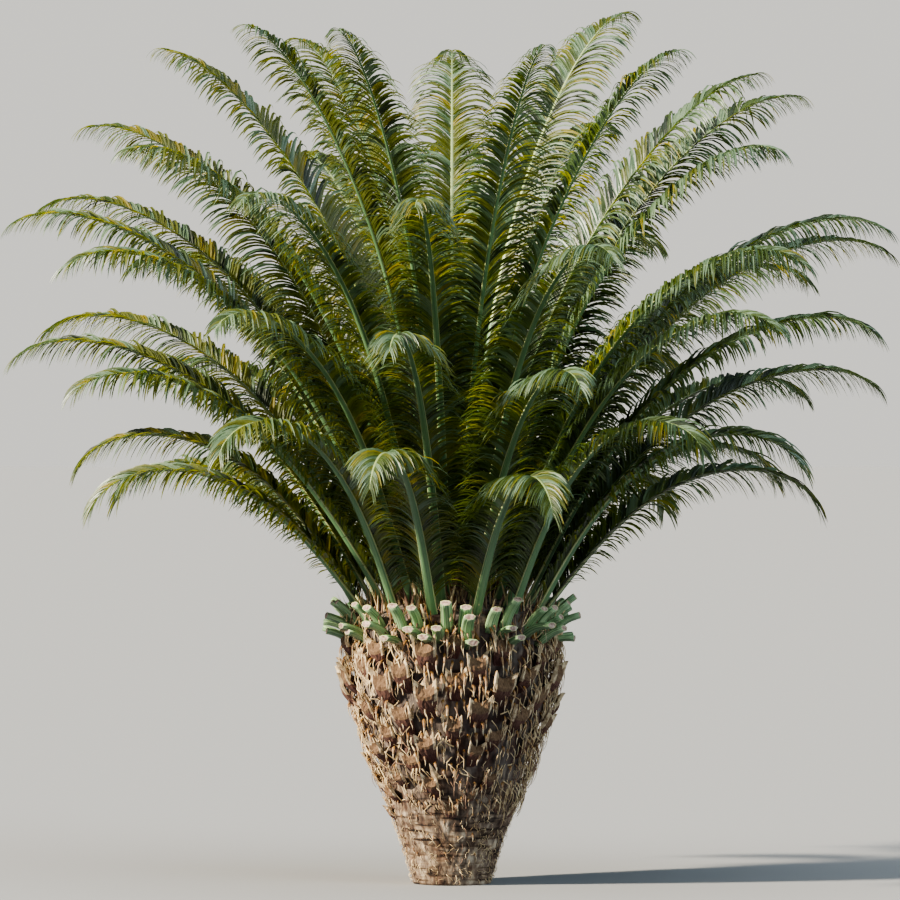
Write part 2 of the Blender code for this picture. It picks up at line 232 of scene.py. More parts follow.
# Other finishes. One with a stretch follows the piece's UV map, the others the object's own coordinates
RELIEF_DEPTH = 0.004
FINISHES = (
    # name, dark and pale tone, roughness, scale, relief, stretch
    ("boot_foot", (0.045, 0.018, 0.016), (0.155, 0.066, 0.05), 0.9, 4.0, 0.6, (10, 1.6, 1)),
    ("boot_face", (0.06, 0.024, 0.019), (0.215, 0.108, 0.075), 0.9, 5.0, 0.6, (12, 1.4, 1)),
    ("boot_top", (0.085, 0.045, 0.026), (0.27, 0.17, 0.094), 0.9, 5.0, 0.5, (9, 2.0, 1)),
    ("boot_edge", (0.36, 0.25, 0.14), (0.84, 0.68, 0.45), 0.85, 40.0, 0.3),
    ("strand", (0.55, 0.38, 0.19), (0.98, 0.8, 0.5), 0.85, 9.0),
    ("strand_dark", (0.13, 0.068, 0.045), (0.36, 0.235, 0.16), 0.9, 9.0),
    ("tooth_root", (0.13, 0.055, 0.013), (0.36, 0.19, 0.05), 0.85, 30.0),
    ("tooth_middle", (0.3, 0.17, 0.085), (0.56, 0.39, 0.24), 0.85, 30.0),
    ("tooth_tip", (0.58, 0.43, 0.25), (0.9, 0.76, 0.52), 0.8, 30.0),
    ("stalk_skin", (0.07, 0.19, 0.08), (0.5, 0.66, 0.36), 0.38, 3.0, 0.4, (4.6, 0.3, 1)),
    ("stalk_pith", (0.26, 0.155, 0.125), (0.7, 0.53, 0.44), 0.9, 60.0, 0.7),
    ("stalk_rim", (0.42, 0.48, 0.22), (0.7, 0.72, 0.44), 0.7, 40.0),
    ("rib_skin", (0.07, 0.165, 0.075), (0.22, 0.36, 0.17), 0.42, 2.0, 0.2, (10, 0.8, 1)),
    ("rib_pale", (0.2, 0.29, 0.12), (0.4, 0.47, 0.21), 0.42, 2.0, 0.0, (10, 0.8, 1)),
    # painted highlight: the pale margins of the ribs
    ("rib_edge", (0.42, 0.47, 0.2), (0.64, 0.66, 0.36), 0.5, 2.0, 0.0, (6, 1.5, 1)),
)

# Studio
CAMERA_PLACE = (-0.012, -36.0, 2.598)
CAMERA_LENS = 240
FLOOR_RADIUS = 900
FLOOR_COLOUR = (0.338, 0.338, 0.338)
HORIZON_BAND = (0.09, 0.20)
HORIZON_COLOUR = (0.765, 0.75, 0.705)
SKY_COLOUR = (0.12, 0.15, 0.21)

# Suns: name, azimuth, elevation, strength, colour and spread
SUNS = (("key", -68, 30, 10.0, (1.0, 0.90, 0.74), 4),
        ("fill", 50, 30, 1.1, (0.74, 0.92, 1.0), 30),
        ("top", -20, 78, 1.5, (0.90, 0.97, 1.0), 60))


Template = namedtuple("Template", "x y row tris kinds")


def polar(radius, azimuth, z):
    """Points by their azimuth in degrees: 0 is the front, 90 the right."""
    angle = np.radians(azimuth)
    return np.stack(np.broadcast_arrays(radius * np.sin(angle), -radius * np.cos(angle), z), axis=-1)


def unit(vectors):
    """The same directions with a length of one."""
    return vectors / np.maximum(np.linalg.norm(vectors, axis=-1, keepdims=True), 1e-9)


def between(value, pairs):
    """What lies at a value, by pairs of a value and what lies there."""
    places, found = zip(*pairs)
    return np.interp(value, places, found)


def through(three, share):
    """Values that run from the first through the middle to the last of three."""
    start, middle, end = three
    swell = np.sin(np.pi * share)
    return np.where(share < 0.5, start + (middle - start) * swell, end + (middle - end) * swell)


def outline_radius(z):
    """The trunk's radius at a height."""
    return between(z, TRUNK_OUTLINE)


def smooth_step(low, high, value):
    """A soft step from 0 at the lower bound to 1 at the higher one."""
    share = min(1.0, max(0.0, (value - low) / (high - low)))
    return share * share * (3 - 2 * share)


# Materials

def add_node(tree, kind, inputs, **settings):
    """A shader node. An input takes a value, or a link where it is given another node's output."""
    node = tree.nodes.new("ShaderNode" + kind)
    for name, setting in settings.items():
        setattr(node, name, setting)
    for name, value in inputs.items():
        if isinstance(value, bpy.types.NodeSocket):
            tree.links.new(value, node.inputs[name])
        else:
            node.inputs[name].default_value = value
    return node


def new_material(name, roughness):
    """A new material's tree and shader."""
    mat = bpy.data.materials.new(name)
    mat.use_nodes = True
    shader = mat.node_tree.nodes["Principled BSDF"]
    shader.inputs["Roughness"].default_value = roughness
    return mat.node_tree, shader


def pattern(tree, scale, detail=4.0, stretch=(1, 1, 1), source="Object"):
    """A noise over the object's own coordinates, or over the piece's UV map."""
    coordinates = add_node(tree, "TexCoord", {}).outputs[source]
    mapping = add_node(tree, "Mapping", {"Vector": coordinates, "Scale": stretch})
    inputs = {"Vector": mapping.outputs["Vector"], "Scale": scale, "Detail": detail}
    return add_node(tree, "TexNoise", inputs).outputs["Fac"]


def ramp(tree, value, stops):
    """Colours at positions along a value."""
    node = add_node(tree, "ValToRGB", {"Fac": value})
    elements = node.color_ramp.elements
    while len(elements) < len(stops):
        elements.new(0.5)
    for element, (position, colour) in zip(elements, stops):
        element.position = position
        element.color = (*colour, 1.0)
    return node.outputs["Color"]


def map_range(tree, value, low, high, ease="LINEAR"):
    """A value's share of the way from one bound to the other, held within 0 and 1."""
    inputs = {"Value": value, "From Min": low, "From Max": high}
    return add_node(tree, "MapRange", inputs, interpolation_type=ease).outputs["Result"]


def mixed(tree, share, first, second, blend="MIX"):
    """Two colours blended by a share."""
    inputs = {"Factor": share, "A": first, "B": second}
    return add_node(tree, "Mix", inputs, data_type="RGBA", blend_type=blend).outputs["Result"]


def add_bump(tree, shader, height, strength, distance):
    """Fine relief from a height."""
    bump = add_node(tree, "Bump", {"Height": height, "Strength": strength, "Distance": distance})
    tree.links.new(bump.outputs["Normal"], shader.inputs["Normal"])


def mottled(name, dark, pale, roughness, scale, bump=0.0, stretch=None):
    """A finish whose colour runs between two tones by a noise, with its relief."""
    tree, shader = new_material(name, roughness)
    value = pattern(tree, scale, stretch=stretch, source="UV") if stretch else pattern(tree, scale)
    tree.links.new(ramp(tree, value, ((0.34, dark), (0.66, pale))), shader.inputs["Base Color"])
    if bump:
        add_bump(tree, shader, value, bump, RELIEF_DEPTH)


def leaf_material(name, dark, pale, glow, share, roughness):
    """A leaflet: waxy on its faces, and lit through from behind."""
    tree, shader = new_material(name, roughness)
    value = pattern(tree, 7.0, detail=2.0)
    tree.links.new(ramp(tree, value, ((0.35, dark), (0.65, pale))), shader.inputs["Base Color"])
    shader.inputs["Specular IOR Level"].default_value = 0.8
    glowing = add_node(tree, "BsdfTranslucent", {"Color": (*glow, 1.0)})
    mix = add_node(tree, "MixShader", {"Fac": share, 1: shader.outputs["BSDF"], 2: glowing.outputs["BSDF"]})
    tree.links.new(mix.outputs["Shader"], tree.nodes["Material Output"].inputs["Surface"])


def bark_material():
    """Dark matted fibre with painted shade in its hollows above, and a pale grey foot with rings of cracks.
    """
    tree, shader = new_material("bark_fibre", 0.95)
    fine = pattern(tree, 30.0, detail=8.0, stretch=(1, 1, 0.35))
    broad = pattern(tree, 7.0, detail=3.0, stretch=(1, 1, 0.7))
    rings = pattern(tree, 5.0, detail=6.0, stretch=(1.2, 1.2, 9.0))
    patches = pattern(tree, 9.0, detail=4.0, stretch=(1, 1, 1.4))
    # painted shade: near-black patches that stand for shade in the bark's hollows
    painted_hollow_shade = ramp(tree, fine, ((0.36, (0.024, 0.013, 0.01)), (0.56, (0.075, 0.038, 0.029)),
                               (0.74, (0.15, 0.082, 0.06))))
    matted = ramp(tree, fine, ((0.3, (0.062, 0.048, 0.041)), (0.52, (0.15, 0.121, 0.104)),
                               (0.72, (0.3, 0.245, 0.2))))
    skin = ramp(tree, fine, ((0.32, (0.085, 0.055, 0.04)), (0.5, (0.3, 0.225, 0.16)),
                             (0.7, (0.72, 0.6, 0.44))))
    worn = ramp(tree, patches, ((0.36, (0.42, 0.32, 0.28)), (0.5, (0.82, 0.78, 0.73)),
                                (0.62, (1.0, 1.0, 1.0))))
    crack = ramp(tree, rings, ((0.36, (0.08, 0.055, 0.045)), (0.43, (0.62, 0.56, 0.5)),
                               (0.52, (1.0, 1.0, 1.0))))
    coordinates = add_node(tree, "TexCoord", {})
    split = add_node(tree, "SeparateXYZ", {"Vector": coordinates.outputs["Object"]})
    height = map_range(tree, split.outputs["Z"], BARE_FOOT + 0.02, BARE_FOOT + 0.46)
    upper = mixed(tree, map_range(tree, broad, 0.44, 0.53), painted_hollow_shade, matted)
    foot = mixed(tree, 1.0, mixed(tree, 1.0, skin, crack, blend="MULTIPLY"), worn, blend="MULTIPLY")
    tree.links.new(mixed(tree, height, foot, upper), shader.inputs["Base Color"])
    add_bump(tree, shader, fine, 0.9, 0.012)


def make_materials():
    """Every finish, which the pieces find by its name."""
    bark_material()
    for row in FINISHES:
        mottled(*row)
    for row in LEAF_FINISHES:
        leaf_material(*row)


# Templates and the pieces joined from them

def tube_template(sides, rows, shape, kind_of=None, pith=False):
    """A tube along rows of rings by bmesh: a shaped circle extruded row by row, closed at its ends."""
    bm = bmesh.new()
    ring = bmesh.ops.create_circle(bm, cap_ends=True, segments=sides, radius=1.0)
    for v in ring["verts"]:
        v.co.x, v.co.y = shape(atan2(v.co.y, v.co.x))
    rim = list({e for v in ring["verts"] for e in v.link_edges})
    for _ in range(rows):
        made = bmesh.ops.extrude_edge_only(bm, edges=rim)["geom"]
        corners = {g for g in made if isinstance(g, bmesh.types.BMVert)}
        rim = [g for g in made if isinstance(g, bmesh.types.BMEdge) and corners.issuperset(g.verts)]
        bmesh.ops.translate(bm, vec=(0, 0, 1), verts=list(corners))
    cap = bmesh.ops.contextual_create(bm, geom=rim)["faces"][0]
    bmesh.ops.recalc_face_normals(bm, faces=bm.faces)
    if pith:
        rim_faces = bmesh.ops.inset_region(bm, faces=[cap], thickness=0.14, depth=0.0)["faces"]
        for face in rim_faces:
            face.material_index = 2
        cap.material_index = 1
    if kind_of:
        for face in bm.faces:
            if abs(face.normal.z) < 0.5:
                face.material_index = kind_of(face.calc_center_median())
    return row_template(bm)


def solid_template(bm):
    """The vertices of a finished bmesh, and its triangles as a template."""
    bmesh.ops.triangulate(bm, faces=bm.faces)
    bm.verts.index_update()
    places = np.array([v.co for v in bm.verts])
    tris = np.array([[v.index for v in f.verts] for f in bm.faces])
    kinds = np.array([f.material_index for f in bm.faces])
    bm.free()
    return places, Template(places[:, 0], places[:, 1], np.zeros(len(places), int), tris, kinds)


def row_template(bm):
    """A template whose vertices lie in rows along z."""
    places, template = solid_template(bm)
    return template._replace(row=np.rint(places[:, 2]).astype(int))


def in_scene(name, data):
    """A new object that holds the data."""
    thing = bpy.data.objects.new(name, data)
    bpy.context.scene.collection.objects.link(thing)
    return thing


def from_bmesh(name, bm, finish):
    """An object from a finished bmesh, with one finish."""
    mesh = bpy.data.meshes.new(name)
    bm.to_mesh(mesh)
    bm.free()
    mesh.materials.append(bpy.data.materials[finish])
    return in_scene(name, mesh)


def joined(name, template, points, finishes, kinds=None, uvs=None, smooth=True):
    """One piece from many copies of a template, with a finish for each kind of face. points is copies by
    vertices by 3."""
    copies, corners = points.shape[:2]
    tris = (template.tris[None] + corners * np.arange(copies)[:, None, None]).reshape(-1, 3)
    slots = np.tile(template.kinds, copies) if kinds is None else kinds
    if slots.size == copies:
        slots = np.repeat(slots, len(template.tris))
    mesh = bpy.data.meshes.new(name)
    mesh.vertices.add(copies * corners)
    mesh.vertices.foreach_set("co", points.astype(np.float32).ravel())
    mesh.loops.add(len(tris) * 3)
    mesh.loops.foreach_set("vertex_index", tris.astype(np.int32).ravel())
    mesh.polygons.add(len(tris))
    mesh.polygons.foreach_set("loop_start", np.arange(0, len(tris) * 3, 3, dtype=np.int32))
    for finish in finishes:
        mesh.materials.append(bpy.data.materials[finish])
    mesh.polygons.foreach_set("material_index", slots.astype(np.int32).ravel())
    mesh.polygons.foreach_set("use_smooth", np.full(len(tris), smooth))
    if uvs is not None:
        layer = mesh.uv_layers.new(name="along")
        layer.data.foreach_set("uv", uvs.reshape(-1, 2)[tris.ravel()].astype(np.float32).ravel())
    mesh.update(calc_edges=True)
    mesh.validate()
    return in_scene(name, mesh)


def place(piece, slot, *nodes):
    """Fixes a finished piece to the frame."""
    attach(piece, BODY)
    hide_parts(*nodes)


def trunk_piece(name, template, points, finishes, **more):
    """A joined piece of the trunk, fixed to the frame in place of the trunk's part."""
    place(joined(name, template, points, finishes, **more), "bark", "trunk")


def sweep(template, paths, normals, wide, thick):
    """Copies of a tube template along paths: each ring square to its path."""
    ahead = unit(np.gradient(paths, axis=1))
    side = unit(np.cross(normals, ahead))
    above = np.cross(ahead, side)
    row = template.row
    return (paths[:, row] + side[:, row] * (template.x * wide[:, row] / 2)[..., None]
            + above[:, row] * (template.y * thick[:, row] / 2)[..., None])


def round_trunk(template, radius, azimuth, z, wide, flat):
    """Copies of a tube template along paths against the trunk."""
    return sweep(template, polar(radius, azimuth, z), unit(polar(1.0, azimuth, 0.0)), wide, wide * flat)


def lengthwise(template, lengths, rng):
    """A UV map that runs round and along each copy of a tube, from a place of its own."""
    around = np.arctan2(template.y, np.abs(template.x) + 1e-6) / pi
    along = template.row / template.row.max()
    start = rng.random((len(lengths), 2)) * 7
    return np.stack([around[None] + start[:, :1], along[None] * lengths[:, None] + start[:, 1:]], axis=-1)


# Trunk

def bark_profile():
    """Radius and height from the middle of the ground cut, up the bark and over the top."""
    heights = np.arange(0.0, STEPS[0][1], BARK_STEP)
    profile = [(0.0, 0.0)]
    for z in heights:
        sink = BARK_SINK * smooth_step(BARE_FOOT + 0.10, BARE_FOOT + 0.45, z)
        sink *= 1 - 0.6 * smooth_step(1.40, 1.55, z)
        profile.append((float(outline_radius(z)) - sink, z))
    profile += [(radius - 0.012, z) for radius, z in STEPS]
    return profile + [(0.10, TOP_HEIGHT - 0.004), (0.0, TOP_HEIGHT)]


def bark_relief(spot):
    """How far the bark stands out at a point: matted fibre, and scars round the foot."""
    z = spot.z
    rough = noise.fractal(Vector((spot.x * 9, spot.y * 9, spot.z * 5)), 1.0, 2.0, 5)
    foot = 1 - smooth_step(BARE_FOOT, BARE_FOOT + 0.25, z)
    wander = noise.noise(spot * 4.0) * 2.4
    scar = abs(sin(pi * z / SCAR_SPACING + wander))
    ends = smooth_step(0.0, 0.02, z)
    return ends * (rough * BARK_RELIEF * (1 - 0.7 * foot) - foot * SCAR_RELIEF * (1 - scar) ** 3)


def make_bark():
    """The trunk's bark, turned from its profile, with relief."""
    bm = bmesh.new()
    verts = [bm.verts.new((radius, 0.0, z)) for radius, z in bark_profile()]
    edges = [bm.edges.new(pair) for pair in zip(verts, verts[1:])]
    bmesh.ops.spin(bm, geom=verts + edges, cent=(0, 0, 0), axis=(0, 0, 1), angle=2 * pi,
                   steps=BARK_SEGMENTS, use_merge=True)
    bmesh.ops.remove_doubles(bm, verts=bm.verts, dist=0.0005)
    bmesh.ops.recalc_face_normals(bm, faces=bm.faces)
    for v in bm.verts:
        out = Vector((v.co.x, v.co.y, 0.0))
        if out.length > 0.01 and v.co.z < STEPS[0][1]:
            v.co += out.normalized() * bark_relief(v.co)
    piece = from_bmesh("bark", bm, "bark_fibre")
    piece.data.shade_smooth()
    place(piece, "bark", "trunk")


def boot_kind(centre):
    """A boot's finish at a place: pale at the edges of its upper half, or by height."""
    x, y = 2 * abs(centre.x), centre.y + 0.5
    if x > 0.78 and y > 0.40 or y > 0.85 and x > 0.62:
        return 3
    return 2 if y > 0.60 else 1 if y > 0.30 else 0


def boot_template():
    """A leaf boot: a shield that leans out to a shoulder, tips back above it and ends in two horns."""
    bm = bmesh.new()
    bmesh.ops.create_grid(bm, x_segments=BOOT_ACROSS, y_segments=BOOT_ALONG, size=0.5)
    for face in bm.faces:
        face.material_index = boot_kind(face.calc_center_median())
    for v in bm.verts:
        x, y = 2 * v.co.x, v.co.y + 0.5
        horn = abs(x) ** 1.8
        width = 0.24 + 0.26 * min(1.0, y * 1.5) ** 0.8
        rise = sin(min(y / BOOT_SHOULDER, 1.0) * pi / 2)
        out = rise - 1.1 * max(0.0, y - BOOT_SHOULDER) * (1 - horn)
        v.co.x = x * width
        v.co.y = y * (0.80 + 0.20 * horn)
        v.co.z = out * (1 - 0.30 * x * x * (1 - y)) + BOOT_HORN * horn * y ** 2
    made = bmesh.ops.extrude_face_region(bm, geom=list(bm.faces))["geom"]
    front = [g for g in made if isinstance(g, bmesh.types.BMVert)]
    bmesh.ops.translate(bm, vec=(0, 0, BOOT_WALL), verts=front)
    bmesh.ops.recalc_face_normals(bm, faces=bm.faces)
    return solid_template(bm)


def boot_places(rng):
    """Azimuth and foot height of each boot, on the trunk's double spiral."""
    found = []
    for column in range(BOOT_COLUMNS):
        z = BOOT_LOW + (column * BOOT_SPIRAL / BOOT_COLUMNS) % 1 * BOOT_PITCH
        while z < BOOT_HIGH - BOOT_HEIGHT * 0.5:
            if rng.random() > BOOT_MISSING:
                azimuth = 360 * column / BOOT_COLUMNS + rng.uniform(-1.5, 1.5)
                found.append((azimuth, z + rng.uniform(-0.015, 0.015)))
            z += BOOT_PITCH
    return np.array(found)


def make_boots(rng):
    """Every boot bent round the trunk, smaller towards the foot."""
    local, template = boot_template()
    places = boot_places(rng)
    count = len(places)
    fullness = outline_radius(places[:, 1] + 0.12) / TRUNK_OUTLINE[-2][1]
    size = fullness ** 0.9 * rng.uniform(0.80, 1.12, count)
    lean = rng.uniform(-0.14, 0.14, count)
    lip = BOOT_LIP * rng.uniform(0.4, 1.5, count) * size
    x = local[None, :, 0] * (BOOT_WIDTH * size)[:, None]
    y = local[None, :, 1] * (BOOT_HEIGHT * size * rng.uniform(0.85, 1.15, count))[:, None]
    y = y * (1 + 0.16 * local[None, :, 0] * rng.uniform(-1, 1, count)[:, None])
    x = x + y * lean[:, None]
    z = places[:, 1:] + y
    out = -BARK_SINK - 0.012 + local[None, :, 2] * (BARK_SINK * 0.8 + lip)[:, None]
    ragged = rng.uniform(-0.004, 0.004, x.shape)
    radius = outline_radius(z) + out + ragged
    azimuth = places[:, :1] + np.degrees(x / np.maximum(radius, 0.15))
    points = polar(radius, azimuth, z)
    uvs = np.stack([local[None, :, 0] + places[:, :1], local[None, :, 1] + places[:, 1:] * 7], axis=-1)
    finishes = ("boot_foot", "boot_face", "boot_top", "boot_edge")
    trunk_piece("leaf_boots", template, points, finishes, uvs=uvs, smooth=False)


def round_shape(angle):
    """The plain section of teeth, strands and hairs."""
    return cos(angle), sin(angle)


def tooth_share(azimuth, z):
    """The share of teeth that shows: fewer on the left, where the net covers the bark."""
    under_net, bare = TOOTH_SHARES
    left = np.clip(-1.6 * np.sin(np.radians(azimuth)), 0, 1) * np.clip((z - 0.45) / 0.2, 0, 1)
    return bare + (under_net - bare) * left


def make_teeth(rng):
    """Rows of torn teeth, brown and swollen at the root, that hang from the bark to a pale tip."""
    rows = 6
    template = tube_template(5, rows, round_shape)
    level = template.row[template.tris].mean(axis=1)
    template = template._replace(kinds=np.digitize(level, (1.6, 2.7)))
    starts = []
    low, high = TOOTH_HEIGHTS
    for k in range(TOOTH_ROWS):
        z = low + (high - low) * (k / (TOOTH_ROWS - 1)) ** 0.92
        around = int(2 * pi * outline_radius(z) / TOOTH_SPACING)
        starts += [(360 * (j + k % 2 / 2 + rng.uniform(-0.33, 0.33)) / around,
                    z + rng.uniform(-0.026, 0.026)) for j in range(around)]
    starts = np.array(starts)
    starts = starts[rng.random(len(starts)) < tooth_share(*starts.T)]
    count = len(starts)
    azimuth, z = starts.T
    right = np.clip(np.sin(np.radians(azimuth - 15)), 0, 1)
    lengths = between(z, TOOTH_LENGTHS) * rng.uniform(0.65, 1.25, count)
    share = np.linspace(0, 1, rows + 1)[None]
    depth = lengths[:, None] * share
    height = z[:, None] - depth * (0.55 + 0.45 * np.minimum(share * 2, 1))
    swell = np.sin(np.minimum(share * 2.2, 1) * pi / 2)
    stand = (0.20 + 0.18 * rng.random(count))[:, None] * lengths[:, None] * swell
    from_bark = rng.uniform(-0.030, 0.006, count)[:, None]
    radius = outline_radius(np.maximum(height, 0)) + from_bark + stand
    drift = rng.normal(0, 0.010, count)[:, None] * share + 0.003 * np.sin(share * 8 + starts[:, :1])
    turned = starts[:, :1] + np.degrees(drift / radius)
    girth = TOOTH_WIDTH * rng.uniform(0.55, 1.15, count) * (1 - 0.45 * right) * between(z, TOOTH_GIRTHS)
    wide = girth[:, None] * between(share, TOOTH_PROFILE)
    points = round_trunk(template, radius, turned, height, wide, 0.6)
    trunk_piece("hanging_teeth", template, points, ("tooth_root", "tooth_middle", "tooth_tip"))


def net_share(azimuth):
    """How much of the net is left at an azimuth: most on the left, little in front, some on the right."""
    left, front, right = NET_SHARES
    back = (left + right) / 2
    turn = (azimuth + 180) % 360 - 180
    return between(turn, ((-180, back), (-150, left * 0.9), (-115, left), (-48, left), (-12, front),
                          (30, front), (75, right), (140, right), (180, back)))


def make_net(rng):
    """A net of straw strands in uneven diamonds over the boots."""
    rows = 5
    template = tube_template(4, rows, round_shape)
    heights = np.linspace(*NET_HEIGHTS, NET_ROWS)
    shift = (np.arange(NET_ROWS) % 2)[:, None] / 2
    azimuths = (np.arange(NET_COLUMNS)[None] + shift) * 360 / NET_COLUMNS
    azimuths = azimuths + rng.normal(0, 1.5, azimuths.shape)
    levels = heights[:, None] + rng.normal(0, 0.016, azimuths.shape)
    outs = rng.uniform(-0.036, 0.014, azimuths.shape) + 0.06 * np.clip((levels - 1.48) / 0.15, 0, 1)
    strands = []
    for k in range(1, NET_ROWS):
        for j in range(NET_COLUMNS):
            for turn in (0, 1 if k % 2 else -1):
                below = (j + turn) % NET_COLUMNS
                if rng.random() < net_share(azimuths[k, j]) * (0.25 + 0.75 * min(1, k / 4)):
                    strands.append((azimuths[k, j], levels[k, j], outs[k, j],
                                    azimuths[k - 1, below] + 360 * ((j + turn) // NET_COLUMNS),
                                    levels[k - 1, below], outs[k - 1, below]))
    ends = np.array(strands)
    count = len(ends)
    share = np.linspace(-0.12, 1.12, rows + 1)[None]
    first, last = ends[:, :3, None], ends[:, 3:, None]
    azimuth, z, out = np.moveaxis(first + (last - first) * share[None], 1, 0)
    bow = np.sin(np.clip(share, 0, 1) * pi)
    azimuth = azimuth + rng.normal(0, 0.9, count)[:, None] * bow
    out = out + rng.uniform(-0.004, 0.022, count)[:, None] * bow
    wide = NET_WIDTH * rng.uniform(0.55, 1.35, count)[:, None] * (1 - 0.35 * bow)
    points = round_trunk(template, outline_radius(z) + out, azimuth, z, wide, 0.8)
    # more dark strands on the right, away from the key light: painted shade
    kinds = (rng.random(count) < 0.22 + 0.3 * (np.sin(np.radians(ends[:, 0])) > 0)).astype(int)
    trunk_piece("fibre_net", template, points, ("strand", "strand_dark"), kinds=kinds)


def make_hairs(rng):
    """Loose kinked hairs that hang from the bark, most of them on the right and at the back."""
    rows = 5
    template = tube_template(3, rows, round_shape)
    azimuths = np.where(rng.random(HAIRS) < 0.85, rng.normal(100, 48, HAIRS), rng.uniform(-180, 180, HAIRS))
    z0 = rng.uniform(*HAIR_HEIGHTS, HAIRS)
    share = np.linspace(0, 1, rows + 1)[None]
    length = rng.uniform(*HAIR_LENGTHS, HAIRS)[:, None]
    kink = np.radians(rng.uniform(20, 55, HAIRS) * rng.choice((-1, 1), HAIRS))[:, None] * (share < 0.45)
    step = length / rows
    z = z0[:, None] - np.cumsum(np.cos(kink) * step, axis=1)
    arc = np.cumsum(np.sin(kink) * step, axis=1)
    from_bark = rng.uniform(-0.02, 0.01, HAIRS)[:, None]
    radius = outline_radius(z) + from_bark + length * 0.28 * np.sin(share * pi * 0.7)
    azimuth = azimuths[:, None] + np.degrees(arc / radius)
    wide = HAIR_WIDTH * rng.uniform(0.6, 1.25, HAIRS)[:, None] * (1.1 - share * 0.8)
    points = round_trunk(template, radius, azimuth, z, wide, 0.8)
    kinds = (rng.random(HAIRS) < 0.4).astype(int)
    trunk_piece("loose_hairs", template, points, ("strand", "strand_dark"), kinds=kinds)


def flap_template():
    """A torn flap: a folded triangle with its point up. x across, y along, z outwards."""
    bm = bmesh.new()
    bmesh.ops.create_cone(bm, cap_ends=True, segments=4, radius1=0.5, radius2=0.04, depth=1.0)
    for v in bm.verts:
        x, y, z = v.co
        v.co = (x, z + 0.5, y * 0.24 + 0.30 * (z + 0.5) ** 2)
    bmesh.ops.subdivide_edges(bm, edges=bm.edges, cuts=1, use_grid_fill=True)
    bmesh.ops.triangulate(bm, faces=bm.faces)
    bmesh.ops.recalc_face_normals(bm, faces=bm.faces)
    return solid_template(bm)


def make_flaps(rng):
    """Cream flaps that fold out of the net on the left, and brown ones that stand among the cut stalks."""
    local, template = flap_template()
    high = np.arange(FLAPS) >= FLAPS * FLAPS_IN_NET

    def drawn(in_net, on_top):
        return np.where(high, rng.uniform(*on_top, FLAPS), rng.uniform(*in_net, FLAPS))

    azimuths = np.where(high, rng.uniform(-180, 180, FLAPS), rng.normal(-75, 38, FLAPS))
    z0 = drawn(*FLAP_HEIGHTS)
    wide = drawn(*FLAP_WIDTHS)
    tall = drawn(*FLAP_LENGTHS)
    lean = rng.uniform(-0.5, 0.5, FLAPS)
    x = local[None, :, 0] * wide[:, None] + local[None, :, 1] * (tall * lean)[:, None]
    z = z0[:, None] + local[None, :, 1] * tall[:, None]
    fold = local[None, :, 2] * tall[:, None] * rng.uniform(0.2, 1.6, FLAPS)[:, None]
    radius = outline_radius(z) - 0.02 + fold
    azimuth = azimuths[:, None] + np.degrees(x / radius)
    kinds = np.where(high, rng.integers(1, 3, FLAPS), 0)
    trunk_piece("torn_flaps", template, polar(radius, azimuth, z),
                ("boot_edge", "strand_dark", "tooth_root"), kinds=kinds, smooth=False)


def make_foot_hairs(rng):
    """Short wavy hairs on the smooth foot."""
    rows = 4
    template = tube_template(3, rows, round_shape)
    azimuths = rng.uniform(-180, 180, FOOT_HAIRS)
    slopes = rng.normal(0, 38, FOOT_HAIRS)
    share = np.linspace(0, 1, rows + 1)[None]
    step = rng.uniform(*FOOT_HAIR_LENGTHS, FOOT_HAIRS)[:, None] / rows
    waves = rng.uniform(3, 8, FOOT_HAIRS)[:, None]
    phase = rng.uniform(0, 6, FOOT_HAIRS)[:, None]
    slope = np.radians(slopes)[:, None] + 0.35 * np.sin(share * waves + phase)
    z0 = rng.uniform(*FOOT_HAIR_HEIGHTS, FOOT_HAIRS)[:, None]
    z = np.maximum(z0 - np.cumsum(np.cos(slope) * step, axis=1), 0.01)
    arc = np.cumsum(np.sin(slope) * step, axis=1)
    bow = 0.018 * np.sin(share * pi) * rng.uniform(0.3, 1.0, FOOT_HAIRS)[:, None]
    radius = outline_radius(z) - 0.012 + bow
    azimuth = azimuths[:, None] + np.degrees(arc / radius)
    wide = FOOT_HAIR_WIDTH * rng.uniform(0.6, 1.2, FOOT_HAIRS)[:, None] * (1.15 - share)
    points = round_trunk(template, radius + 0.012, azimuth, z, wide, 1.0)
    kinds = (rng.random(FOOT_HAIRS) < 0.35).astype(int)
    trunk_piece("foot_hairs", template, points, ("strand", "strand_dark"), kinds=kinds)


def make_crown_fibre(rng):
    """Torn sheath fibre that stands up among the stalks and the feet of the fronds."""
    rows = 5
    template = tube_template(4, rows, round_shape)
    azimuths = rng.uniform(-180, 180, CROWN_STRANDS)
    share = np.linspace(0, 1, rows + 1)[None]
    height = rng.uniform(*CROWN_HEIGHTS, CROWN_STRANDS)[:, None]
    radius0 = CROWN_GROUND[-1][0] - 0.50 * rng.random(CROWN_STRANDS)[:, None] ** 1.4
    z = between(radius0, CROWN_GROUND) + height * share
    radius = radius0 + rng.uniform(-0.02, 0.09, CROWN_STRANDS)[:, None] * share ** 1.5
    azimuth = azimuths[:, None] + rng.normal(0, 5, CROWN_STRANDS)[:, None] * share
    broad = rng.random(CROWN_STRANDS) < CROWN_BROAD
    wide = np.where(broad, *CROWN_WIDTHS) * rng.uniform(0.5, 1.2, CROWN_STRANDS)
    wide = wide[:, None] * (1.06 - share) ** 0.8
    points = round_trunk(template, radius, azimuth, z, wide, 0.25)
    # more pale strands on the left, where the key light falls: painted light
    left = np.sin(np.radians(azimuths)) < -0.2
    luck = rng.random(CROWN_STRANDS)
    kinds = np.where(luck < np.where(left, 0.5, 0.25), 0, np.where(luck < 0.85, 1, 2))
    finishes = ("strand", "strand_dark", "tooth_root")
    trunk_piece("crown_fibre", template, points, finishes, kinds=kinds)


# Cut stalks

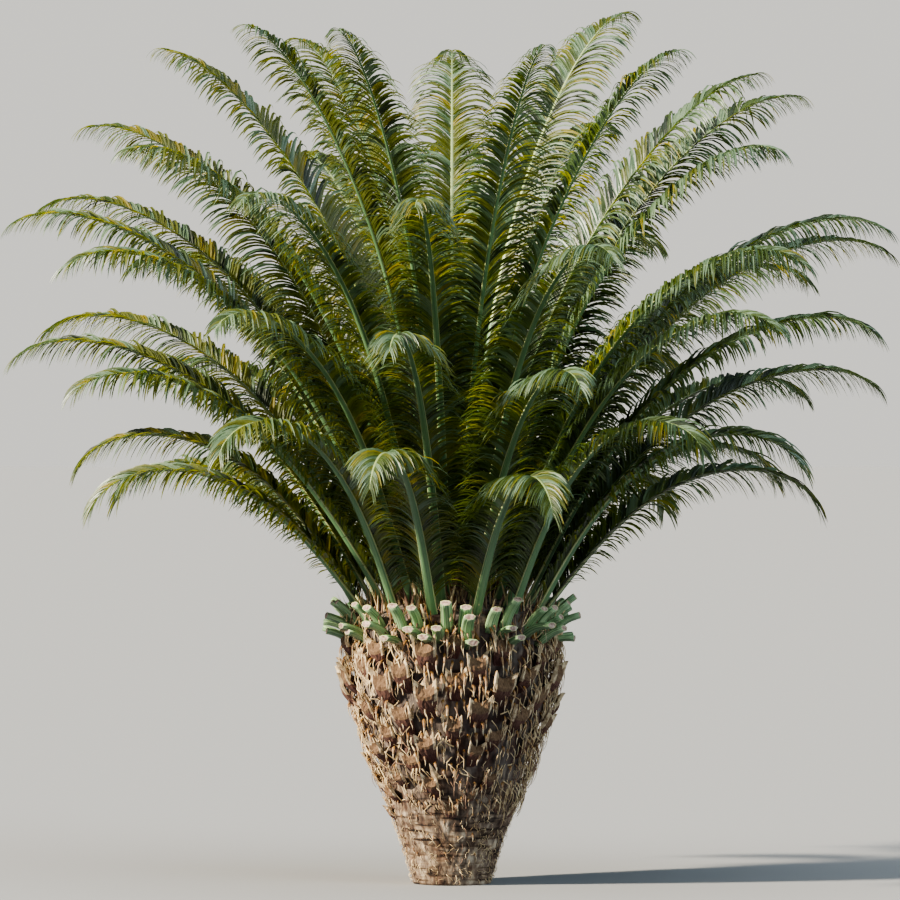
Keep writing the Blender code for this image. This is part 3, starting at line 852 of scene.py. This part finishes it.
def stalk_shape(angle):
    """A ribbed section, flatter on its upper side."""
    rib = 1 + 0.075 * cos(STALK_RIBS * angle)
    upper = 0.62 if sin(angle) > 0 else 1.0
    return cos(angle) * rib, sin(angle) * rib * upper


def make_stalks():
    """The cut stalks by the frame's rule: ribbed, bent outwards, pale and rough at the cut."""
    draws = random.Random(SEED)
    rows = 6
    template = tube_template(STALK_SIDES, rows, stalk_shape, pith=True)
    paths, normals, sizes = [], [], []
    for number, (count, offset, z, radius, length, rise, bend, stray, tilt) in enumerate(STALK_ROWS):
        for k in range(count):
            azimuth = STALK_FIRST + 360 * (k + offset) / count + draws.uniform(-stray, stray)
            if number == 0:
                azimuth += STALK_PAIR_SHIFT if k % 2 == 0 else -STALK_PAIR_SHIFT
            root_z = z + draws.uniform(-0.014, 0.014)
            reach = length * draws.uniform(0.75, 1.15)
            pitch = rise + draws.uniform(-tilt, tilt)
            girth = draws.uniform(0.84, 1.04)
            steps = np.linspace(0, 1, rows + 1)
            along = -STALK_ROOT + (STALK_ROOT + reach) * steps
            angle = np.radians(pitch - 2 * bend * np.clip(along / reach, 0, 1))
            gaps = np.diff(along, prepend=along[0])
            out = radius - STALK_ROOT * cos(radians(pitch)) + np.cumsum(np.cos(angle) * gaps)
            up = root_z - STALK_ROOT * sin(radians(pitch)) + np.cumsum(np.sin(angle) * gaps)
            paths.append(polar(out, azimuth, up))
            normals.append(polar(-np.sin(angle), azimuth, np.cos(angle)))
            sizes.append(STALK_TAPER ** (2 * steps) * girth)
    sizes = np.array(sizes)
    points = sweep(template, np.array(paths), np.array(normals),
                   STALK_WIDTH * sizes, STALK_DEPTH * 1.15 * sizes)
    uvs = lengthwise(template, np.full(len(points), 0.25), np.random.default_rng(SEED))
    finishes = ("stalk_skin", "stalk_pith", "stalk_rim")
    piece = joined("cut_stalk_stubs", template, points, finishes, uvs=uvs)
    place(piece, "cut_stalk", "cut_stalks")


# Fronds

class Frond:
    """The curve of one frond, as the frame's rule gives it."""

    def __init__(self, ring, number, azimuth, digit):
        share = digit / 9
        self.ring = ring
        self.node = f"frond_{ring['name']}_{number:02d}"
        self.azimuth = azimuth
        self.heart = max(0, ring["step"] - 2)
        self.front = max(0.0, cos(radians(azimuth))) ** 4
        self.length, self.start, self.bend = [
            low + (high - low) * share for low, high in zip(ring["low"], ring["high"])]
        self.out, self.side = polar(1.0, azimuth, 0.0), polar(1.0, azimuth + 90, 0.0)
        self.seat = polar(ring["radius"], azimuth, STEPS[ring["step"]][1])
        self.fine = np.linspace(0, 1, RIB_STEPS + 1)
        ahead, _ = self.directions((self.fine[:-1] + self.fine[1:]) / 2)
        self.line = self.seat + np.vstack([np.zeros(3), np.cumsum(ahead, axis=0) * self.length / RIB_STEPS])

    def directions(self, t):
        """The rib's tangent and upper normal at shares of its length."""
        drop = self.bend * np.maximum(t, 0)**self.ring["curve"] + HOOK * np.maximum(t, 0)**HOOK_POWER
        angle = np.radians(self.start - drop)[..., None]
        return (self.out * np.cos(angle) + UP * np.sin(angle), UP * np.cos(angle) - self.out * np.sin(angle))

    def points(self, t):
        """Places on the rib, also a little below its seat."""
        below = np.minimum(t, 0.0)[..., None] * self.length * self.directions(np.zeros(1))[0]
        inside = np.stack([np.interp(t, self.fine, self.line[:, k]) for k in range(3)], axis=-1)
        return inside + below

    def widths(self, t):
        """The rib's width and depth."""
        width, depth = self.ring["rib"]
        left = 1 - np.clip(t, 0, 1)
        flare = 1 + RIB_FLARE * np.clip(1 - t / 0.05, 0, 1) ** 2
        wide = (RIB_TIP * 0.6 + (width - RIB_TIP) * left**0.8) * flare
        return wide, RIB_TIP * 0.6 + (depth - RIB_TIP) * left


def all_fronds():
    """Every frond of every ring, in the order of its nodes' numbers."""
    fronds = []
    for ring in RINGS:
        count = len(ring["heights"])
        places = ring.get("places", range(count))
        for k, (where, digit) in enumerate(zip(places, ring["heights"])):
            azimuth = ring["first"] + 360 * where / count + ring["shifts"].get(k + 1, 0)
            fronds.append(Frond(ring, k + 1, azimuth, int(digit)))
    return fronds


def rib_shape(angle):
    """Nearly flat on the upper side, keeled below, with a crisp margin at each side."""
    x, y = cos(angle), sin(angle)
    return x, (y * 0.55 if y > 0 else y * (1.0 - 0.25 * abs(x)))


def rib_kind(centre):
    """The pale margins, a painted highlight, are faces of their own, and so is the paler outer half's upper
    side.
    """
    if abs(centre.x) > 0.86:
        return 1
    return 2 if centre.y > 0 and centre.z > RIB_ROWS * 0.42 else 0


def make_ribs(ring, fronds, rng):
    """All of a ring's ribs in one piece, from a little below their seats."""
    template = tube_template(RIB_SIDES, RIB_ROWS, rib_shape, kind_of=rib_kind)
    sunk = RIB_SUNK / fronds[0].length
    t = -sunk + (1 + sunk) * np.linspace(0, 1, RIB_ROWS + 1)
    paths = np.array([f.points(t) for f in fronds])
    normals = np.array([f.directions(np.maximum(t, 0))[1] for f in fronds])
    sizes = np.array([f.widths(t) for f in fronds])
    points = sweep(template, paths, normals, sizes[:, 0], sizes[:, 1])
    uvs = lengthwise(template, np.array([f.length for f in fronds]), rng)
    finishes = ("rib_skin", "rib_edge", "rib_pale")
    piece = joined("ribs_" + ring["name"], template, points, finishes, uvs=uvs)
    place(piece, "leaf", *[f.node for f in fronds])


def leaflet_template():
    """A leaflet's blade by bmesh: two strips beside a midrib, drawn to a point. x across, z the row."""
    bm = bmesh.new()
    bmesh.ops.create_grid(bm, x_segments=2, y_segments=LEAFLET_ROWS, size=1.0)
    for v in bm.verts:
        v.co.z = (v.co.y + 1) / 2 * LEAFLET_ROWS
        v.co.y = abs(v.co.x)
    tip = [v for v in bm.verts if v.co.z > LEAFLET_ROWS - 0.5]
    bmesh.ops.pointmerge(bm, verts=tip, merge_co=(0, 0, LEAFLET_ROWS))
    return row_template(bm)


def leaflet_roots(frond, rng):
    """Where one frond's leaflets stand and how they set off: arrays with a row for each leaflet."""
    count = int(frond.length * (1 - BARE_STALK) / LEAFLET_SPACING)
    share = (np.arange(count) + 0.5 + rng.uniform(-PLACE_STRAY, PLACE_STRAY, count)) / count
    t = BARE_STALK * 0.8 + (1 - BARE_STALK * 0.8) * np.concatenate([share, share])
    sign = np.repeat([1.0, -1.0], count)
    tangent, level = frond.directions(t)
    turn = -frond.ring["twist"] * sin(radians(frond.azimuth)) * (1 - t ** 3)
    turn = np.radians(turn)[:, None]
    side = frond.side * np.cos(turn) - level * np.sin(turn)
    normal = level * np.cos(turn) + frond.side * np.sin(turn)
    lift = np.radians(through(LEAFLET_LIFT, t) + rng.normal(0, LIFT_STRAY, 2 * count))[:, None]
    near_tip = np.clip((1 - t) * frond.length / TIP_STRETCH, 0, 1)
    ahead = through(LEAFLET_SWEEP, t) + TIP_SWEEP * (1 - near_tip) + rng.normal(0, SWEEP_STRAY, 2 * count)
    ahead = np.radians(ahead)[:, None]
    across = side * sign[:, None]
    outwards = across * np.cos(lift) + normal * np.sin(lift)
    start = outwards * np.cos(ahead) + tangent * np.sin(ahead)
    roll = np.radians(through(LEAFLET_ROLL, t))[:, None]
    above = normal * np.cos(lift) - across * np.sin(lift)
    above = unit(above * np.cos(roll) + tangent * np.sin(roll))
    wide, deep = frond.widths(t)
    margin = frond.side * (sign * wide * 0.42)[:, None]
    root = frond.points(t) + margin + level * (deep * 0.12)[:, None]
    length = through(LEAFLET_LENGTH, t) * (TIP_SHORT + (1 - TIP_SHORT) * near_tip)
    length = length * rng.uniform(*LENGTH_STRAY, 2 * count)
    length *= 1 - FRONT_SHORT * frond.front * np.clip(4 * t - 2.6, 0, 1)
    lying = DROOP_UPRIGHT + (1 - DROOP_UPRIGHT) * np.abs(level[:, 2])
    droop = through(LEAFLET_DROOP, t) * lying * rng.uniform(*DROOP_STRAY, 2 * count)
    return t, root, start, above, length, droop


def blade_points(template, root, start, above, length, droop):
    """Every leaflet's vertices: its spine sinks under its weight, and its two halves fold up."""
    count = len(root)
    rows = LEAFLET_ROWS
    spine = np.empty((count, rows + 1, 3))
    ahead = np.empty_like(spine)
    spine[:, 0] = root
    for k in range(rows + 1):
        share = k / rows
        ahead[:, k] = unit(start - UP * (droop * share**1.3)[:, None])
        if k:
            spine[:, k] = spine[:, k - 1] + (ahead[:, k - 1] + ahead[:, k]) / 2 * (length / rows)[:, None]
    side = unit(np.cross(ahead, above[:, None]))
    up = np.cross(side, ahead)
    share = np.linspace(0, 1, rows + 1)
    half = LEAFLET_WIDTH / 2 * np.minimum(0.5 + 4.0 * share, 1.0) * (1 - share) ** 0.55
    half = half[None] * (length / LEAFLET_LENGTH[1])[:, None] ** LEAFLET_SLIM
    fold = radians(LEAFLET_FOLD)
    row = template.row
    return (spine[:, row] + side[:, row] * (template.x * half[:, row] * cos(fold))[..., None]
            + up[:, row] * (template.y * half[:, row] * sin(fold))[..., None])


def deal_colours(frond, t, template, rng):
    """A kind of green for each face: by the spray's place, and from the leaflet's root to its tip. Some
    greens are painted light and shade, dealt by the frond's side to the key light.
    """
    count = len(t) // 2
    spray = np.concatenate([np.arange(count), np.arange(count) + count + SPRAY]) // SPRAY
    luck = rng.random(spray.max() + 1)[spray]
    # the frond's side to the key light: greens dealt by it are painted light on the left and painted shade
    # on the right
    left = -sin(radians(frond.azimuth))
    # painted sheen: heart fronds turned to this side get more of the pale waxy green and less olive
    painted_sheen = frond.heart * cos(radians(frond.azimuth - PAINTED_SHEEN_SIDE))
    measures = dict(all=1, left=left, right=max(0.0, -left), heart=frond.heart, painted_sheen=painted_sheen,
                    front=frond.front, foot=1 - t, tip=t, outer=t - 0.40)

    def share(name):
        return sum(part * measures[key] for key, part in SHARES[name].items())

    gold = np.clip(share("gold"), 0.0, 1)
    olive = gold + np.clip(share("olive"), 0.03, 1) * (1 - 0.6 * np.clip(6 * t - 5, 0, 1))
    wax_and_sheen = np.clip(share("wax_and_sheen"), 0.03, 0.55)
    root = np.full(len(t), GREEN)
    root[luck < olive] = OLIVE
    root[luck < gold] = GOLD
    # painted shade: the darkest green at leaflet roots near the frond's foot and on its right side
    root[luck > 1 - wax_and_sheen - share("deep")] = PAINTED_SHADE
    # the pale waxy green: glaucous wax, and also painted sheen
    root[luck > 1 - wax_and_sheen] = WAX_AND_SHEEN
    tip = np.where((root == GOLD) | (root == PAINTED_SHADE), GREEN, root)
    # pale waxy tips: glaucous wax and painted sheen, fewer on the fronds at the front
    tip = np.where(rng.random(len(t)) < share("wax_and_sheen_tip"), WAX_AND_SHEEN, tip)
    tip = np.where((root == WAX_AND_SHEEN) & (rng.random(len(t)) < 0.25), OLIVE, tip)
    # gold tips on the outer part of fronds, more on the heart and away from the left
    gold_tip_share = share("gold_tip") * np.clip(0.4 - left, 0, 1) * np.clip(4 * t - 1.6, 0, 1)
    tip = np.where((rng.random(spray.max() + 1)[spray] < gold_tip_share) & (root != WAX_AND_SHEEN), GOLD, tip)
    turn = rng.uniform(0.25, 0.9, len(t)) * LEAFLET_ROWS
    face_row = template.row[template.tris].mean(axis=1)
    return np.where(face_row[None] < turn[:, None], root[:, None], tip[:, None])


def make_leaflets(ring, fronds, rng):
    """All of a ring's leaflets in one piece."""
    template = leaflet_template()
    blades, kinds = [], []
    for frond in fronds:
        t, *growth = leaflet_roots(frond, rng)
        blades.append(blade_points(template, *growth))
        kinds.append(deal_colours(frond, t, template, rng))
    greens = [row[0] for row in LEAF_FINISHES]
    piece = joined("leaflets_" + ring["name"], template, np.concatenate(blades), greens,
                   kinds=np.concatenate(kinds), smooth=False)
    place(piece, "leaf", *[f.node for f in fronds])


# Studio

def make_floor():
    """A wide plain disc, as pale as the horizon."""
    bm = bmesh.new()
    bmesh.ops.create_circle(bm, cap_ends=True, segments=96, radius=FLOOR_RADIUS)
    _, shader = new_material("studio_floor", 1.0)
    shader.inputs["Specular IOR Level"].default_value = 0.0
    shader.inputs["Base Color"].default_value = (*FLOOR_COLOUR, 1.0)
    floor = from_bmesh("studio_floor", bm, "studio_floor")
    floor.visible_diffuse = False


def add_sun(name, azimuth, elevation, strength, colour, angle):
    """A soft sun that shines from an azimuth and elevation."""
    data = bpy.data.lights.new(name, "SUN")
    data.energy = strength
    data.color = colour
    data.angle = radians(angle)
    sun = in_scene(name, data)
    flat = cos(radians(elevation))
    source = Vector(polar(flat, azimuth, sin(radians(elevation))))
    sun.rotation_euler = source.to_track_quat("Z", "Y").to_euler()


def make_backdrop_light():
    """The world: pale at the horizon, as the floor is, and dimmer away from it."""
    world = bpy.data.worlds.new("studio")
    world.use_nodes = True
    tree = world.node_tree
    coordinates = add_node(tree, "TexCoord", {})
    split = add_node(tree, "SeparateXYZ", {"Vector": coordinates.outputs["Generated"]})
    above = add_node(tree, "Math", {0: split.outputs["Z"]}, operation="ABSOLUTE")
    height = map_range(tree, above.outputs["Value"], *HORIZON_BAND, ease="SMOOTHSTEP")
    colour = mixed(tree, height, (*HORIZON_COLOUR, 1.0), (*SKY_COLOUR, 1.0))
    tree.links.new(colour, tree.nodes["Background"].inputs["Color"])
    bpy.context.scene.world = world


def make_studio():
    """Pale floor, a warm key from the left, a cool fill, and the camera of the photograph."""
    make_floor()
    make_backdrop_light()
    for sun in SUNS:
        add_sun(*sun)
    data = bpy.data.cameras.new("camera")
    data.lens = CAMERA_LENS
    data.sensor_width = 36
    data.clip_end = 2000
    camera = in_scene("camera", data)
    camera.location = CAMERA_PLACE
    camera.rotation_euler = (pi / 2, 0, 0)
    bpy.context.scene.camera = camera
    bpy.context.scene.view_settings.look = "AgX - Medium High Contrast"


def main():
    """Everything, from the bark outwards, in the order of the random draws."""
    make_materials()
    rng = np.random.default_rng(SEED)
    make_bark()
    make_boots(rng)
    make_teeth(rng)
    make_net(rng)
    make_hairs(rng)
    make_flaps(rng)
    make_foot_hairs(rng)
    make_crown_fibre(rng)
    make_stalks()
    fronds = all_fronds()
    for ring in RINGS:
        own = [f for f in fronds if f.ring is ring]
        make_ribs(ring, own, rng)
        make_leaflets(ring, own, rng)
    make_studio()


main()
